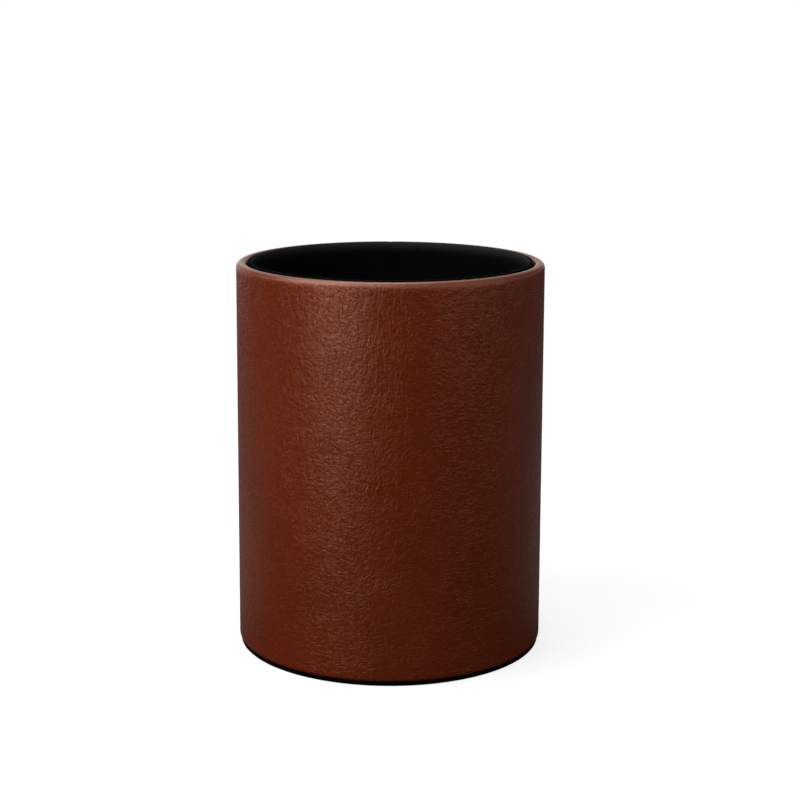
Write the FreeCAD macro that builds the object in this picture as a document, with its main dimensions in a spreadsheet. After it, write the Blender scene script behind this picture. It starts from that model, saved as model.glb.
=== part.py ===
"""Round desk cup for pens: a rigid board tube dressed in leather, lined with black cloth.

Every piece is a body turned about the Z axis, or cut from flat board, and all of them are glued
one on another. The origin is the centre of the underside, and +Z is up. The leather's seam is at
the back, on +Y, and the lining's seam is at the front, on -Y. All sizes are in millimetres.
"""

import FreeCAD, Part

import math
import os

import Sketcher

DOCUMENT = FreeCAD.newDocument("PenCup")
SHEET = DOCUMENT.addObject("Spreadsheet::Sheet", "Sizes")

# The driving dimensions. Each one can be changed by itself.
SIZES = {
    "outer_diameter": (80.0, "across the leather"),
    "overall_height": (101.2, "from the table to the top of the lining"),
    "leather_thickness": (0.6, "coated leather, skived where it folds"),
    "tube_wall": (1.7, "wound grey board"),
    "tube_rim_edge_radius": (0.8, "upper edges, sanded round for the leather to fold over"),
    "tube_foot_edge_radius": (0.3, "lower edge, only broken, so that the cup meets its foot crisply"),
    "rim_turn_in": (14.0, "leather glued down the inside, below the crest"),
    "foot_turn_under": (9.0, "leather glued under the cup, from its outside"),
    "leather_seam_gap": (0.25, "between the two butted ends of the leather"),
    "cloth_thickness": (0.35, "black brushed cloth"),
    "lining_card_thickness": (0.5, "card sleeve that carries the lining"),
    "lining_turn_over": (8.0, "cloth folded over the top of the sleeve"),
    "lining_rise": (0.2, "top of the lining, above the crest of the rim"),
    "lining_seam_gap": (0.2, "between the two butted ends of the sleeve"),
    "base_board_thickness": (2.5, "board disc that closes the tube"),
    "floor_card_thickness": (0.8, "card disc of the floor"),
    "floor_turn_under": (6.0, "cloth folded under the floor card"),
    "foot_card_thickness": (0.35, "card disc of the foot"),
    "foot_turn_over": (7.0, "cloth folded over the foot card"),
    "foot_inset": (0.4, "edge of the foot, inside the leather"),
    "board_clearance": (0.1, "round the base board, filled with glue"),
    "lining_clearance": (0.05, "round the lining sleeve, filled with glue"),
    "floor_clearance": (0.15, "round the floor disc, so that it drops in"),
}

# Radii that follow from the sizes, as expressions, from the outside in.
OUTER_RADIUS = "(Sizes.outer_diameter / 2)"
TUBE_OUTER_RADIUS = f"({OUTER_RADIUS} - Sizes.leather_thickness)"
TUBE_BORE_RADIUS = f"({TUBE_OUTER_RADIUS} - Sizes.tube_wall)"
TURN_IN_RADIUS = f"({TUBE_BORE_RADIUS} - Sizes.leather_thickness)"
SLEEVE_OUTER_RADIUS = f"({TURN_IN_RADIUS} - Sizes.lining_clearance)"
SLEEVE_CARD_OUTER_RADIUS = f"({SLEEVE_OUTER_RADIUS} - Sizes.cloth_thickness)"
SLEEVE_CARD_INNER_RADIUS = f"({SLEEVE_CARD_OUTER_RADIUS} - Sizes.lining_card_thickness)"
WELL_RADIUS = f"({SLEEVE_CARD_INNER_RADIUS} - Sizes.cloth_thickness)"
FLOOR_RADIUS = f"({WELL_RADIUS} - Sizes.floor_clearance)"
FOOT_RADIUS = f"({OUTER_RADIUS} - Sizes.foot_inset)"

# Heights that follow from the sizes, from the table up.
FOOT_CARD_BOTTOM = "Sizes.cloth_thickness"
FOOT_CARD_TOP = f"({FOOT_CARD_BOTTOM} + Sizes.foot_card_thickness)"
FOOT_TOP = f"({FOOT_CARD_TOP} + Sizes.cloth_thickness)"
TUBE_BOTTOM = f"({FOOT_TOP} + Sizes.leather_thickness)"
BOARD_TOP = f"({TUBE_BOTTOM} + Sizes.base_board_thickness)"
FLOOR_CARD_BOTTOM = f"({BOARD_TOP} + Sizes.cloth_thickness)"
FLOOR_CARD_TOP = f"({FLOOR_CARD_BOTTOM} + Sizes.floor_card_thickness)"
FLOOR_TOP = f"({FLOOR_CARD_TOP} + Sizes.cloth_thickness)"
LINING_TOP = "Sizes.overall_height"
RIM_CREST = f"({LINING_TOP} - Sizes.lining_rise)"
TUBE_TOP = f"({RIM_CREST} - Sizes.leather_thickness)"
TURN_IN_END = f"({RIM_CREST} - Sizes.rim_turn_in)"
SLEEVE_CARD_TOP = f"({LINING_TOP} - Sizes.cloth_thickness)"
LINING_TURN_END = f"({SLEEVE_CARD_TOP} - Sizes.lining_turn_over)"

# Roundings. Two edges share the tube's wall, and one fold takes up a layer of cloth, so each
# rounding is held under its share of what it rounds.
WALL_SHARE = 0.48
CLOTH_SHARE = 0.9
TUBE_RIM_EDGE = f"min(Sizes.tube_rim_edge_radius; {WALL_SHARE} * Sizes.tube_wall)"
TUBE_FOOT_EDGE = f"min(Sizes.tube_foot_edge_radius; {WALL_SHARE} * Sizes.tube_wall)"
RIM_FOLD = f"({TUBE_RIM_EDGE} + Sizes.leather_thickness)"
FOOT_FOLD = f"({TUBE_FOOT_EDGE} + Sizes.leather_thickness)"
CLOTH_FOLD = f"({CLOTH_SHARE} * Sizes.cloth_thickness)"

FRONT, BACK = -1, 1


def fill_sheet():
    """Writes each size in a row of its own, with its name as the alias and its meaning beside it."""
    for row, (name, (value, meaning)) in enumerate(SIZES.items(), start=1):
        SHEET.set(f"A{row}", name)
        SHEET.set(f"B{row}", str(value))
        SHEET.setAlias(f"B{row}", name)
        SHEET.set(f"C{row}", meaning)
    DOCUMENT.recompute()


def new_body(name):
    """An empty body whose label is the piece's name."""
    body = DOCUMENT.addObject("PartDesign::Body", name)
    body.Label = name
    return body


def new_sketch(body, plane, name):
    """A sketch of the body, on one of the body's own origin planes."""
    sketch = body.newObject("Sketcher::SketchObject", name)
    support = next(f for f in body.Origin.OriginFeatures if f.Role == plane)
    sketch.AttachmentSupport = [(support, "")]
    sketch.MapMode = "FlatFace"
    return sketch


def draw_polygon(sketch, corners):
    """A closed outline whose corners are each held by two expressions: across and up the sketch."""
    origin, across_axis, up_axis = (-1, 1), -1, -2
    places = [FreeCAD.Vector(*(_number(sketch, e) for e in corner), 0) for corner in corners]
    count = len(places)
    for i, place in enumerate(places):
        sketch.addGeometry(Part.LineSegment(place, places[(i + 1) % count]), False)
    for i in range(count):
        sketch.addConstraint(Sketcher.Constraint("Coincident", i, 2, (i + 1) % count, 1))
    for i, (across, up) in enumerate(corners):
        if across == "0":
            sketch.addConstraint(Sketcher.Constraint("PointOnObject", i, 1, up_axis))
        else:
            _hold(sketch, f"across_{i}", "DistanceX", origin, i, places[i].x, across)
        if up == "0":
            sketch.addConstraint(Sketcher.Constraint("PointOnObject", i, 1, across_axis))
        else:
            _hold(sketch, f"up_{i}", "DistanceY", origin, i, places[i].y, up)


def _number(sketch, expression):
    """The value of an expression now, in millimetres."""
    return float(sketch.evalExpression(expression))


def _hold(sketch, name, kind, origin, line, value, expression):
    """A named distance from the origin to the start of a line, bound to an expression."""
    index = sketch.addConstraint(Sketcher.Constraint(kind, *origin, line, 1, value))
    sketch.renameConstraint(index, name)
    sketch.setExpression(f"Constraints.{name}", expression)


def turn(body, name, corners):
    """A solid of revolution about Z, from corners given as radius and height."""
    sketch = new_sketch(body, "XZ_Plane", f"{name}_profile")
    draw_polygon(sketch, corners)
    feature = body.newObject("PartDesign::Revolution", f"{name}_turned")
    feature.Profile = sketch
    feature.ReferenceAxis = (sketch, ["V_Axis"])
    feature.Angle = 360.0
    DOCUMENT.recompute()
    return feature


def round_circles(body, name, circles, radius):
    """Fillets the circular edges that lie at the given radius and height."""
    base = body.Tip
    wanted = [(_number(SHEET, r), _number(SHEET, z)) for r, z in circles]
    edges = [
        f"Edge{i}"
        for i, edge in enumerate(base.Shape.Edges, start=1)
        if isinstance(edge.Curve, Part.Circle)
        and any(
            math.isclose(edge.Curve.Radius, r, abs_tol=1e-4)
            and math.isclose(edge.Curve.Center.z, z, abs_tol=1e-4)
            for r, z in wanted
        )
    ]
    if len(edges) != len(circles):
        raise RuntimeError(f"{name}: {len(edges)} edges found where {len(circles)} were asked for")
    fillet = body.newObject("PartDesign::Fillet", name)
    fillet.Base = (base, edges)
    fillet.setExpression("Radius", radius)
    DOCUMENT.recompute()


def cut_seam(body, name, gap, reach, side):
    """Parts a ring along one vertical line, as the two ends of a rolled sheet are parted."""
    before = body.Shape.Volume
    sketch = new_sketch(body, "XY_Plane", f"{name}_outline")
    half = f"({gap} / 2)"
    end = reach if side == BACK else f"(-{reach})"
    draw_polygon(sketch, [(f"(-{half})", "0"), (half, "0"), (half, end), (f"(-{half})", end)])
    pocket = body.newObject("PartDesign::Pocket", name)
    pocket.Profile = sketch
    pocket.Type = "Length"
    pocket.Reversed = True
    pocket.setExpression("Length", f"2 * {LINING_TOP}")
    DOCUMENT.recompute()
    if not body.Shape.Volume < before:
        raise RuntimeError(f"{name} cut nothing")


def core_tube():
    """The wound board tube that gives the cup its shape. Its upper edges are sanded round."""
    body = new_body("core_tube")
    turn(
        body,
        "tube",
        [
            (TUBE_BORE_RADIUS, TUBE_BOTTOM),
            (TUBE_OUTER_RADIUS, TUBE_BOTTOM),
            (TUBE_OUTER_RADIUS, TUBE_TOP),
            (TUBE_BORE_RADIUS, TUBE_TOP),
        ],
    )
    round_circles(body, "tube_foot_edge", [(TUBE_OUTER_RADIUS, TUBE_BOTTOM)], TUBE_FOOT_EDGE)
    round_circles(body, "tube_rim_edges", tube_rim(), TUBE_RIM_EDGE)
    return body


def tube_rim():
    """Radius and height of the two upper edges of the tube."""
    return [(TUBE_OUTER_RADIUS, TUBE_TOP), (TUBE_BORE_RADIUS, TUBE_TOP)]


def leather_wrap():
    """One sheet of leather: up the outside, over the rim, down the inside, and under the foot."""
    body = new_body("leather_wrap")
    under_radius = f"({OUTER_RADIUS} - Sizes.foot_turn_under)"
    turn(
        body,
        "leather",
        [
            (under_radius, FOOT_TOP),
            (OUTER_RADIUS, FOOT_TOP),
            (OUTER_RADIUS, RIM_CREST),
            (TURN_IN_RADIUS, RIM_CREST),
            (TURN_IN_RADIUS, TURN_IN_END),
            (TUBE_BORE_RADIUS, TURN_IN_END),
            (TUBE_BORE_RADIUS, TUBE_TOP),
            (TUBE_OUTER_RADIUS, TUBE_TOP),
            (TUBE_OUTER_RADIUS, TUBE_BOTTOM),
            (under_radius, TUBE_BOTTOM),
        ],
    )
    outer_rim = [(OUTER_RADIUS, RIM_CREST), (TURN_IN_RADIUS, RIM_CREST)]
    round_circles(body, "foot_fold_inside", [(TUBE_OUTER_RADIUS, TUBE_BOTTOM)], TUBE_FOOT_EDGE)
    round_circles(body, "foot_fold_outside", [(OUTER_RADIUS, FOOT_TOP)], FOOT_FOLD)
    round_circles(body, "rim_folds_inside", tube_rim(), TUBE_RIM_EDGE)
    round_circles(body, "rim_folds_outside", outer_rim, RIM_FOLD)
    cut_seam(body, "leather_seam", "Sizes.leather_seam_gap", "Sizes.outer_diameter", BACK)
    return body


def lining_card():
    """The card sleeve that carries the lining. It stands on the base board."""
    body = new_body("lining_card")
    turn(
        body,
        "sleeve",
        [
            (SLEEVE_CARD_INNER_RADIUS, BOARD_TOP),
            (SLEEVE_CARD_OUTER_RADIUS, BOARD_TOP),
            (SLEEVE_CARD_OUTER_RADIUS, SLEEVE_CARD_TOP),
            (SLEEVE_CARD_INNER_RADIUS, SLEEVE_CARD_TOP),
        ],
    )
    cut_seam(body, "sleeve_seam", "Sizes.lining_seam_gap", "Sizes.outer_diameter", FRONT)
    return body


def lining_cloth():
    """The cloth on the inside of the sleeve, folded over its top and glued down its outside."""
    body = new_body("lining_cloth")
    turn(
        body,
        "cloth",
        [
            (WELL_RADIUS, BOARD_TOP),
            (SLEEVE_CARD_INNER_RADIUS, BOARD_TOP),
            (SLEEVE_CARD_INNER_RADIUS, SLEEVE_CARD_TOP),
            (SLEEVE_CARD_OUTER_RADIUS, SLEEVE_CARD_TOP),
            (SLEEVE_CARD_OUTER_RADIUS, LINING_TURN_END),
            (SLEEVE_OUTER_RADIUS, LINING_TURN_END),
            (SLEEVE_OUTER_RADIUS, LINING_TOP),
            (WELL_RADIUS, LINING_TOP),
        ],
    )
    lip = [(SLEEVE_OUTER_RADIUS, LINING_TOP), (WELL_RADIUS, LINING_TOP)]
    round_circles(body, "cloth_fold", lip, CLOTH_FOLD)
    cut_seam(body, "cloth_seam", "Sizes.lining_seam_gap", "Sizes.outer_diameter", FRONT)
    return body


def disc(name, radius, bottom, top):
    """A plain disc of board or card."""
    body = new_body(name)
    turn(body, f"{name}_disc", [("0", bottom), (radius, bottom), (radius, top), ("0", top)])
    return body


def disc_cover(name, heights, card_radius, cover_radius, turned):
    """Cloth over one face of a card disc, round its edge, and folded onto its other face.

    The four heights run from the cloth's covering face, through the two faces of the card, to
    the fold's outer face, so they rise on the foot and fall on the floor.
    """
    body = new_body(name)
    cover_face, near_face, far_face, fold_face = heights
    fold_radius = f"({card_radius} - {turned})"
    turn(
        body,
        name,
        [
            ("0", cover_face),
            (cover_radius, cover_face),
            (cover_radius, fold_face),
            (fold_radius, fold_face),
            (fold_radius, far_face),
            (card_radius, far_face),
            (card_radius, near_face),
            ("0", near_face),
        ],
    )
    folds = [(cover_radius, cover_face), (cover_radius, fold_face)]
    round_circles(body, f"{name}_folds", folds, CLOTH_FOLD)
    return body


def build():
    """Makes every piece and returns the bodies."""
    fill_sheet()
    floor_card_radius = f"({FLOOR_RADIUS} - Sizes.cloth_thickness)"
    foot_card_radius = f"({FOOT_RADIUS} - Sizes.cloth_thickness)"
    board_radius = f"({TUBE_BORE_RADIUS} - Sizes.board_clearance)"
    floor_heights = [FLOOR_TOP, FLOOR_CARD_TOP, FLOOR_CARD_BOTTOM, BOARD_TOP]
    foot_heights = ["0", FOOT_CARD_BOTTOM, FOOT_CARD_TOP, FOOT_TOP]
    return [
        core_tube(),
        disc("base_board", board_radius, TUBE_BOTTOM, BOARD_TOP),
        leather_wrap(),
        lining_card(),
        lining_cloth(),
        disc("floor_card", floor_card_radius, FLOOR_CARD_BOTTOM, FLOOR_CARD_TOP),
        disc_cover(
            "floor_cloth",
            floor_heights,
            floor_card_radius,
            FLOOR_RADIUS,
            "Sizes.floor_turn_under",
        ),
        disc("foot_card", foot_card_radius, FOOT_CARD_BOTTOM, FOOT_CARD_TOP),
        disc_cover(
            "foot_cloth", foot_heights, foot_card_radius, FOOT_RADIUS, "Sizes.foot_turn_over"
        ),
    ]


def check(bodies):
    """Stops if any object failed to compute, or any piece isn't one valid closed solid."""
    DOCUMENT.recompute()
    for item in DOCUMENT.Objects:
        if {"Invalid", "Error"} & set(item.State):
            raise RuntimeError(f"{item.Name} failed: {item.State}")
    for body in bodies:
        shape = body.Shape
        if shape.isNull() or not shape.isValid() or len(shape.Solids) != 1:
            raise RuntimeError(f"{body.Label} isn't one valid solid")


def export(bodies):
    """Writes each piece to a STEP file named for it."""
    os.makedirs("parts", exist_ok=True)
    for body in bodies:
        body.Shape.exportStep(os.path.join("parts", f"{body.Label}.step"))
        box = body.Shape.BoundBox
        print(f"{body.Label}: {body.Shape.Volume:.1f} mm3, {box.ZMin:.2f} to {box.ZMax:.2f} mm high")


PIECES = build()
check(PIECES)
export(PIECES)
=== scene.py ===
# %% [markdown]
# # Dressing a leather pen cup
#
# The cup is a stiff board tube with soft things glued to it: grained leather outside, black cloth
# inside and under the foot. The boards are exact already, so they stay as they come. The leather
# and the cloth are made again here, because their looks lie in what a plain solid leaves out: the
# grain that stands up from the surface, the cut edges that meet in a seam, and the nap.

# %% Load the boards and plain solids
import math

import bpy
import numpy as np
from mathutils import Matrix, Vector


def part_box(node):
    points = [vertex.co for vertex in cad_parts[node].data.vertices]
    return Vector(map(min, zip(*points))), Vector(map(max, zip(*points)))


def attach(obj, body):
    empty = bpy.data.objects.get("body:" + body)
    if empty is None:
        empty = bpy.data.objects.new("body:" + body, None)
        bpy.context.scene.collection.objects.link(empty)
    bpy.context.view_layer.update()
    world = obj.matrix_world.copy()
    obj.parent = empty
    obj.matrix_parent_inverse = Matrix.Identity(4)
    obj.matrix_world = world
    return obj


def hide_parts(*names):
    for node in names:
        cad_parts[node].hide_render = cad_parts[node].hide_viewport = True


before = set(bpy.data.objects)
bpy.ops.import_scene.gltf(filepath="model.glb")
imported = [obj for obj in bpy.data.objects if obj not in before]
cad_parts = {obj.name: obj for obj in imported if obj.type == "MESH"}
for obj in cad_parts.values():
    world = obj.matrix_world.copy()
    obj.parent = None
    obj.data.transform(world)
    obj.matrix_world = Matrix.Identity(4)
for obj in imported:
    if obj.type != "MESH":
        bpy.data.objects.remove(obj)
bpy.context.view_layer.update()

print("nodes:", ", ".join(sorted(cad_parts)))

# %% [markdown]
# ## Sizes
#
# Every size that a solid's box can tell is read from it, so the skins follow if the cup is made
# wider or taller. The rest is written here. Lengths are millimetres until a mesh is made, and only
# the studio's own lengths are metres.

# %% Read the sizes
MM = 0.001
RADIUS_DIGITS, HEIGHT_DIGITS = 2, 3


def radius_of(node):
    """Half the width of a round piece."""
    low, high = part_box(node)
    return round((high.x - low.x) / 2 / MM, RADIUS_DIGITS)


def heights_of(node):
    """The lowest and highest point of a piece."""
    low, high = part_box(node)
    return tuple(round(point.z / MM, HEIGHT_DIGITS) for point in (low, high))


OUTER_RADIUS = radius_of("leather_wrap")
LEATHER_BOTTOM, RIM_CREST = heights_of("leather_wrap")
LEATHER = OUTER_RADIUS - radius_of("core_tube")
SLEEVE_RADIUS = radius_of("lining_cloth")
LINING_BOTTOM, LINING_TOP = heights_of("lining_cloth")
CLOTH = SLEEVE_RADIUS - radius_of("lining_card")
FLOOR_RADIUS = radius_of("floor_cloth")
FLOOR_BOTTOM, FLOOR_TOP = heights_of("floor_cloth")
FOOT_RADIUS = radius_of("foot_cloth")
FOOT_BOTTOM, FOOT_TOP = heights_of("foot_cloth")

TUBE_WALL = 1.7
TUBE_RIM_EDGE, TUBE_FOOT_EDGE = 0.8, 0.3
RIM_TURN_IN = 14.0
FOOT_TURN_UNDER = 9.0
LINING_CARD = 0.5
LINING_TURN_OVER = 8.0
WELL_RADIUS = SLEEVE_RADIUS - 2 * CLOTH - LINING_CARD
print(f"leather {LEATHER:.2f} mm, cloth {CLOTH:.2f} mm, cup {2 * OUTER_RADIUS:.1f} x {RIM_CREST:.1f} mm")

# %% [markdown]
# ## The camera
#
# The cup is seen from a little above its rim, from about half a metre away, which shows the rim as
# a thin ellipse. Seen from above, a cup's sides run together towards its foot. Tilting the camera
# less and sliding the lens down by a tenth of the sensor's width keeps them closer to upright. A
# camera for tall buildings slides its lens up for the same reason.

# %% Place the camera
CAMERA_BACK, CAMERA_HEIGHT = 464.0, 165.4
CAMERA_DOWN, CAMERA_RIGHT, CAMERA_TILT = (math.radians(a) for a in (9.80, 0.31, 0.24))
SENSOR, LENS = 36.0, 81.13
LENS_SLIDE = -0.1

camera = bpy.data.objects.new("camera", bpy.data.cameras.new("camera"))
camera.data.sensor_width = SENSOR
camera.data.lens = LENS
camera.data.shift_y = LENS_SLIDE
camera.matrix_world = (
    Matrix.Translation((0, -CAMERA_BACK * MM, CAMERA_HEIGHT * MM))
    @ Matrix.Rotation(-CAMERA_RIGHT, 4, "Z")
    @ Matrix.Rotation(math.pi / 2 - CAMERA_DOWN, 4, "X")
    @ Matrix.Rotation(CAMERA_TILT, 4, "Z")
)
bpy.context.scene.collection.objects.link(camera)
bpy.context.scene.camera = camera
print(f"camera {CAMERA_BACK:.0f} mm in front, {CAMERA_HEIGHT - RIM_CREST:.0f} mm above the rim")

# %% [markdown]
# ## Sections
#
# Everything on this cup is turned, so a piece is a section line carried round the axis, as a potter
# or a lathe would make it. A section is given by its corners. A corner has a radius and a height,
# then the rounding that a folded edge has there, and the spacing of the points on the straight
# after it.

# %% Draw a section with rounded corners
ROUNDING, SPACING = 2, 3
ARC_STEP = 0.35
FEWEST_ARC_STEPS = 3
NO_LENGTH = 1e-9
STEP_SLACK = 1e-6


def section(*corners):
    """Points (radius, height) along a line through corners (radius, height, rounding, spacing)."""
    points = [np.array(corners[0][:2], float)]
    spacing = corners[0][SPACING]
    for before, corner, after in zip(corners, corners[1:], corners[2:]):
        here = np.array(corner[:2], float)
        back = np.array(before[:2], float) - here
        on = np.array(after[:2], float) - here
        back /= np.linalg.norm(back)
        on /= np.linalg.norm(on)
        rounding = corner[ROUNDING]
        reach = rounding / math.tan(math.acos(float(np.dot(back, on))) / 2)
        add_straight(points, here + back * reach, spacing)
        add_arc(points, here, back, on, rounding, reach)
        spacing = corner[SPACING]
    add_straight(points, np.array(corners[-1][:2], float), spacing)
    return np.array(points)


def add_straight(points, end, spacing):
    """Carries the line on to a point, in equal steps."""
    start = points[-1]
    length = float(np.linalg.norm(end - start))
    if length < NO_LENGTH:
        return
    count = max(1, math.ceil(length / spacing - STEP_SLACK))
    points.extend(start + (end - start) * i / count for i in range(1, count + 1))


def add_arc(points, corner, back, on, rounding, reach):
    """Carries the line round a corner."""
    if rounding <= 0:
        return
    centre = corner + (back + on) / np.linalg.norm(back + on) * math.hypot(rounding, reach)
    start = corner + back * reach - centre
    end = corner + on * reach - centre
    turn = math.acos(float(np.dot(start, end)) / rounding**2)
    count = max(FEWEST_ARC_STEPS, math.ceil(rounding * turn / ARC_STEP))
    for i in range(1, count + 1):
        t = i / count
        blend = start * math.sin((1 - t) * turn) + end * math.sin(t * turn)
        points.append(centre + blend / math.sin(turn))


def path_lengths(path):
    """How far along a section each of its points is."""
    return np.concatenate([[0.0], np.cumsum(np.linalg.norm(np.diff(path, axis=0), axis=1))])


FOLD_SAMPLE = section((3.0, 0.0, 0, 1.0), (5.0, 0.0, 1.0, 1.0), (5.0, 2.0, 0, 0))
print(f"a fold of 1 mm radius: {len(FOLD_SAMPLE)} points on {path_lengths(FOLD_SAMPLE)[-1]:.2f} mm")

# %% [markdown]
# ## Faces between points
#
# A turned piece is a grid: rows along the section, columns round the axis. Where two neighbouring
# lines have points at different spacings, their points can't be joined by squares. They are zipped
# up with triangles instead: whichever line is behind takes the next step.

# %% Join points with faces
AXES = 3


def turned(path, angles):
    """The path carried to each angle from the back: rows along the path, columns round the axis."""
    radius, height = path[:, :1], path[:, 1:]
    right = -radius * np.sin(angles)[None, :]
    back = radius * np.cos(angles)[None, :]
    return np.stack([right, back, np.broadcast_to(height, right.shape)], axis=-1)


def grid_faces(numbers, closed=False):
    """Quads over a grid of point numbers. A closed grid joins its last column to its first."""
    if closed:
        numbers = np.concatenate([numbers, numbers[:, :1]], axis=1)
    corners = numbers[:-1, :-1], numbers[:-1, 1:], numbers[1:, 1:], numbers[1:, :-1]
    return [tuple(face) for face in np.stack([c.ravel() for c in corners], axis=1).tolist()]


def zip_chains(first, second, first_shares, second_shares):
    """Triangles between two chains of points that run side by side with different spacing."""
    faces = []
    i = j = 0
    while i < len(first) - 1 or j < len(second) - 1:
        first_moves = j == len(second) - 1 or (
            i < len(first) - 1 and first_shares[i + 1] <= second_shares[j + 1]
        )
        if first_moves:
            faces.append((int(first[i]), int(first[i + 1]), int(second[j])))
            i += 1
        else:
            faces.append((int(first[i]), int(second[j + 1]), int(second[j])))
            j += 1
    return faces


GRID_SAMPLE = np.arange(12).reshape(3, 4)
print("a grid of 3 x 4 points:", len(grid_faces(GRID_SAMPLE)), "squares")

# %% [markdown]
# ## A sheet wrapped round the cup
#
# The leather is one sheet: under the cup, up the outside, over the rim and down the inside. It has
# a face that shows, a back that is glued, and cut edges all round. The face needs small squares to
# carry the grain, and the back doesn't, so the two are separate grids, and their edges are closed
# with strips. Each point keeps its place on the flat sheet in a UV map, in metres, so that a
# pattern laid on it has its real size. Zero lies opposite the seam, so the map's ends meet where
# the sheet's do. Two more values go with each point: whether it may stand up in relief, and how
# far it dips towards the cut end, where the edge of real leather is rounded off.

# %% Build a wrapped sheet
END_ROUNDING = 0.35
SHEET_MAP, RELIEF, DIP = "sheet", "relief", "dip"


def wrapped_sheet(name, face_path, back_path, angles):
    """A sheet with a face and a back, given as sections, wrapped through the angles."""
    rows, columns = len(face_path), len(angles)
    face = np.arange(rows * columns).reshape(rows, columns)
    back = rows * columns + np.arange(len(back_path) * columns).reshape(-1, columns)
    faces = grid_faces(face) + grid_faces(back[::-1])
    faces += grid_faces(np.stack([face[-1], back[-1]]))
    faces += grid_faces(np.stack([back[0], face[0]]))
    along = path_lengths(face_path), path_lengths(back_path)
    shares = [a / a[-1] for a in along]
    faces += zip_chains(face[:, 0], back[:, 0], *shares)
    faces += [f[::-1] for f in zip_chains(face[:, -1], back[:, -1], *shares)]
    places = [turned(path, angles).reshape(-1, AXES) for path in (face_path, back_path)]
    mesh = bpy.data.meshes.new(name)
    mesh.from_pydata((np.concatenate(places) * MM).tolist(), [], faces)
    turn = angles - angles.mean()
    across = turn * face_path[:, 0].max()
    flat = [np.stack(np.meshgrid(across, a), axis=-1).reshape(-1, 2) for a in along]
    lay_flat(mesh, np.concatenate(flat), np.arange(len(mesh.vertices)) < rows * columns)
    from_end = across.max() - np.abs(across)
    dip = np.tile(np.exp(-((from_end / END_ROUNDING) ** 2)), rows + len(back_path))
    keep(mesh, DIP, dip)
    mesh.shade_smooth()
    return mesh


def lay_flat(mesh, flat, in_relief):
    """Writes each point's place on the flat sheet, and whether it may stand up in relief."""
    corners = np.zeros(len(mesh.loops), np.int32)
    mesh.loops.foreach_get("vertex_index", corners)
    layer = mesh.uv_layers.new(name=SHEET_MAP)
    layer.data.foreach_set("uv", (flat[corners] * MM).astype(np.float32).ravel())
    keep(mesh, RELIEF, in_relief)


def keep(mesh, name, values):
    """Keeps a value at each point of a mesh."""
    column = mesh.attributes.new(name, "FLOAT", "POINT")
    column.data.foreach_set("value", values.astype(np.float32))


print("each point keeps:", SHEET_MAP, RELIEF, DIP)

# %% [markdown]
# ## A disc in a cover
#
# The floor and the foot are card discs with cloth drawn over one face, round the edge and onto the
# other face. Such a cover is a round sheet, so it is built in rings, and a ring has as many points
# as its radius needs. On the flat sheet a point lies as far from the middle as the section is long.


# %% Build a disc cover
def ring_shares(radius, step):
    """Equal shares of a turn, for a ring whose points lie about one step apart."""
    count = max(1, round(2 * math.pi * radius / step))
    return np.arange(count) / count


def disc_cover(name, path, steps, face_rows):
    """A closed cover from a section that starts and ends on the axis. Steps are the spacings."""
    places, flats, chains, relief = [], [], [], []
    count = 0
    for row, ((radius, height), out) in enumerate(zip(path, path_lengths(path))):
        share = ring_shares(radius, steps[row])
        turn = 2 * math.pi * share
        right, away = np.sin(turn), -np.cos(turn)
        ring = [radius * right, radius * away, np.full(len(turn), height)]
        places.append(np.stack(ring, axis=1))
        flats.append(np.stack([out * right, out * away], axis=1))
        numbers = count + np.arange(len(turn))
        if radius > 0:
            numbers, share = np.append(numbers, numbers[0]), np.append(share, 1.0)
        chains.append((numbers, share))
        relief += [row < face_rows] * len(turn)
        count += len(turn)
    faces = []
    for (inner, inner_share), (outer, outer_share) in zip(chains, chains[1:]):
        faces += zip_chains(inner, outer, inner_share, outer_share)
    mesh = bpy.data.meshes.new(name)
    mesh.from_pydata((np.concatenate(places) * MM).tolist(), [], faces)
    lay_flat(mesh, np.concatenate(flats), np.array(relief))
    mesh.shade_smooth()
    return mesh


RING_SAMPLE = ring_shares(radius=10.0, step=3.0)
print("a ring of 10 mm radius in steps of 3 mm:", len(RING_SAMPLE), "points")

# %% [markdown]
# ## Measuring a mesh
#
# A sheet of leather has a volume, and a mesh that encloses it shows its faces outward. The volume
# is the sum of the small pyramids between each triangle and the origin, and such a pyramid is a
# sixth of the slanted box on its three corners. The sum comes out below zero when the faces look
# inward, and that tells whether to turn them.

# %% Measure a mesh and show it
TRIANGLE_CORNERS, PYRAMIDS_IN_BOX = 3, 6


def volume_of(mesh):
    """The volume that a mesh encloses, in cubic millimetres. It is negative if faces look inward."""
    mesh.calc_loop_triangles()
    points = np.zeros((len(mesh.vertices), AXES))
    mesh.vertices.foreach_get("co", points.ravel())
    corners = np.zeros((len(mesh.loop_triangles), TRIANGLE_CORNERS), np.int32)
    mesh.loop_triangles.foreach_get("vertices", corners.ravel())
    a, b, c = (points[column] for column in corners.T)
    boxes = np.einsum("ij,ij->i", a, np.cross(b, c))
    return float(boxes.sum() / PYRAMIDS_IN_BOX / MM**3)


def show(mesh):
    """A finished mesh as an object of the scene, with its faces looking outward."""
    if volume_of(mesh) < 0:
        mesh.flip_normals()
    piece = bpy.data.objects.new(mesh.name, mesh)
    bpy.context.scene.collection.objects.link(piece)
    closed = 2 * len(mesh.edges) == len(mesh.loops)
    triangles = len(mesh.loop_triangles)
    print(f"{mesh.name}: {triangles} triangles, {volume_of(mesh):.0f} mm3, closed: {closed}")
    return piece


print(f"the board tube as it comes: {volume_of(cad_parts['core_tube'].data):.0f} mm3")

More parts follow.
